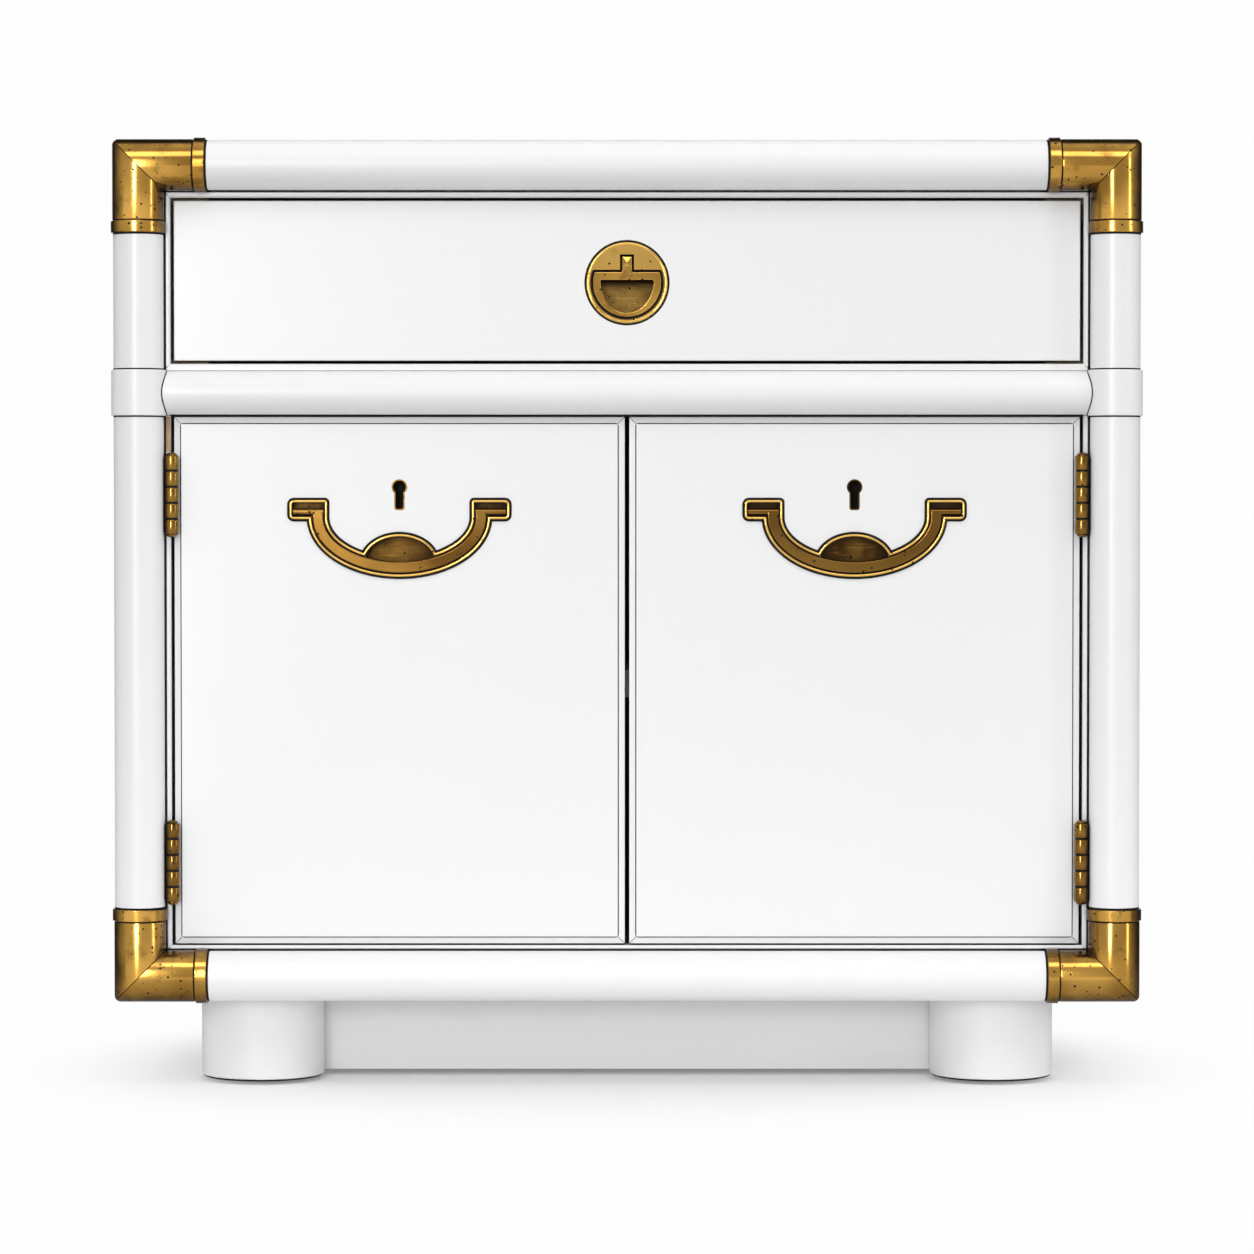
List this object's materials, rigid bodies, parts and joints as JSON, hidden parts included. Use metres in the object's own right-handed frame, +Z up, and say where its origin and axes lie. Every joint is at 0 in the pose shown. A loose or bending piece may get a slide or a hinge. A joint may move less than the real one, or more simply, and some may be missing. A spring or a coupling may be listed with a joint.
{
  "type": "nightstand",
  "caption": "White lacquered campaign nightstand with a round-rod front frame, brass corners, a drawer and a cupboard with hinged doors, brass flush pulls and cylinder feet.",
  "frame": {"origin": "on the floor, under the middle of the overall box", "axes": "+X to the right seen from the front, +Y to the back, +Z up"},
  "size_m": [0.66, 0.42, 0.61],
  "materials": {
    "white_lacquer": "satin lacquer",
    "brass": "aged",
    "drawer_wood": "bare",
    "back_board": "bare",
    "steel": "zinc plated",
    "catch_plastic": "matte",
    "glide_plastic": "matte"
  },
  "bodies": {
    "case": {"back_panel": "back_board", "back_panel_screws": "steel", "back_plinth": "white_lacquer", "bottom_front_rail": "white_lacquer", "bottom_panel": "white_lacquer", "door_side_mouldings": "white_lacquer", "door_sill_moulding": "white_lacquer", "drawer_bottom_moulding": "white_lacquer", "drawer_divider": "white_lacquer", "drawer_kickers": "drawer_wood", "drawer_runners": "drawer_wood", "drawer_side_mouldings": "white_lacquer", "drawer_top_moulding": "white_lacquer", "foot_glides": "glide_plastic", "front_feet": "white_lacquer", "front_plinth": "white_lacquer", "hinge_frame_screws": "brass", "hinge_pins": "brass", "left_bottom_brass_elbow": "brass", "left_front_post": "white_lacquer", "left_hinge_frame_leaves": "brass", "left_side_panel": "white_lacquer", "left_top_brass_elbow": "brass", "magnetic_catches": "catch_plastic", "middle_front_rail": "white_lacquer", "post_bands": "brass", "post_collars": "white_lacquer", "rail_bands": "brass", "rear_feet": "white_lacquer", "right_bottom_brass_elbow": "brass", "right_front_post": "white_lacquer", "right_hinge_frame_leaves": "brass", "right_side_panel": "white_lacquer", "right_top_brass_elbow": "brass", "shelf": "white_lacquer", "shelf_pins": "steel", "side_plinths": "white_lacquer", "top_front_rail": "white_lacquer", "top_panel": "white_lacquer"},
    "drawer": {"drawer_front": "white_lacquer", "drawer_sides": "drawer_wood", "drawer_back": "drawer_wood", "drawer_bottom": "drawer_wood", "drawer_pull_plate": "brass"},
    "drawer_ring": {"drawer_ring": "brass"},
    "left_door": {"left_door_panel": "white_lacquer", "left_door_pull_plate": "brass", "left_keyhole_liner": "brass", "left_hinge_door_leaves": "brass", "left_door_screws": "brass", "left_strike_plate": "steel"},
    "left_bail": {"left_door_bail": "brass"},
    "right_door": {"right_door_panel": "white_lacquer", "right_door_pull_plate": "brass", "right_keyhole_liner": "brass", "right_hinge_door_leaves": "brass", "right_door_screws": "brass", "right_strike_plate": "steel"},
    "right_bail": {"right_door_bail": "brass"}
  },
  "joints": [
    {"name": "drawer_slide", "type": "slide", "parent": "case", "child": "drawer", "axis": [0, -1, 0], "range_m": [0, 0.26]},
    {"name": "drawer_ring_swing", "type": "hinge", "parent": "drawer", "child": "drawer_ring", "pos_m": [0, -0.18685, 0.52197], "axis": [-1, 0, 0], "range_deg": [0, 65]},
    {"name": "left_door_hinge", "type": "hinge", "parent": "case", "child": "left_door", "pos_m": [-0.2915, -0.19275, 0.26253], "axis": [0, 0, -1], "range_deg": [0, 110]},
    {"name": "right_door_hinge", "type": "hinge", "parent": "case", "child": "right_door", "pos_m": [0.2915, -0.19275, 0.26253], "axis": [0, 0, 1], "range_deg": [0, 110]},
    {"name": "left_bail_swing", "type": "hinge", "parent": "left_door", "child": "left_bail", "pos_m": [-0.14595, -0.187, 0.37085], "axis": [-1, 0, 0], "range_deg": [0, 95]},
    {"name": "right_bail_swing", "type": "hinge", "parent": "right_door", "child": "right_bail", "pos_m": [0.14595, -0.187, 0.37085], "axis": [-1, 0, 0], "range_deg": [0, 95]}
  ]
}
